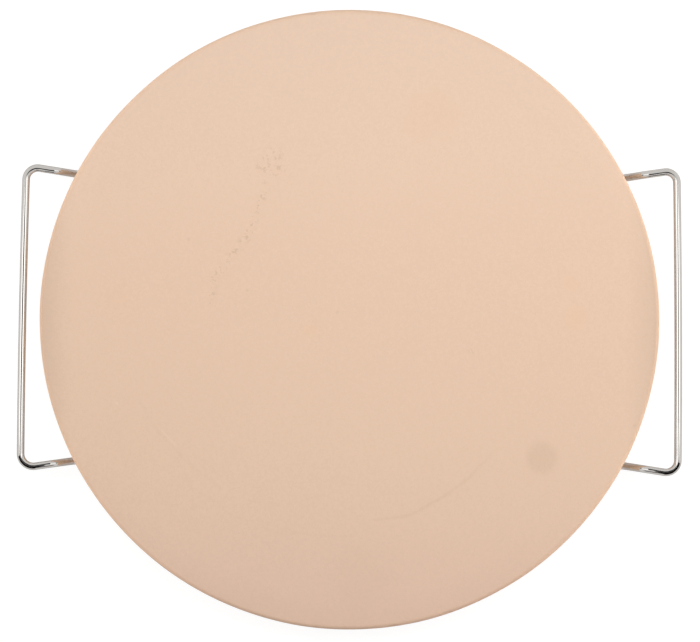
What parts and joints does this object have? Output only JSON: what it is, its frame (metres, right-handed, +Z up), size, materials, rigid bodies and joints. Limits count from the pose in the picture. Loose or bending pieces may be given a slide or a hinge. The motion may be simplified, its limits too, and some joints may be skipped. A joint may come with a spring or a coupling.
{
  "type": "pizza stone",
  "caption": "Round ceramic baking stone that rests loose on a chromed wire rack with a bent wire handle on each side and curled wire feet.",
  "frame": {"origin": "on the table under the middle of the stone, midway between the two handles", "axes": "+X from the middle towards the right handle, +Y away from the viewer, +Z up through the stone's baking face"},
  "size_m": [0.356, 0.33, 0.03],
  "materials": {
    "stone_ceramic": "matt, fine-grained, unglazed beige fired ceramic",
    "chromed_wire": "bright chrome plate on steel wire"
  },
  "bodies": {
    "rack": {"left_handle_wire": "chromed_wire", "right_handle_wire": "chromed_wire", "left_leg_wire": "chromed_wire", "right_leg_wire": "chromed_wire", "centre_cross_wire": "chromed_wire"},
    "stone": {"baking_stone": "stone_ceramic"}
  },
  "joints": [
    {"name": "stone_lift", "type": "slide", "parent": "rack", "child": "stone", "axis": [0, 0, 1], "range_m": [0, 0.05]}
  ]
}
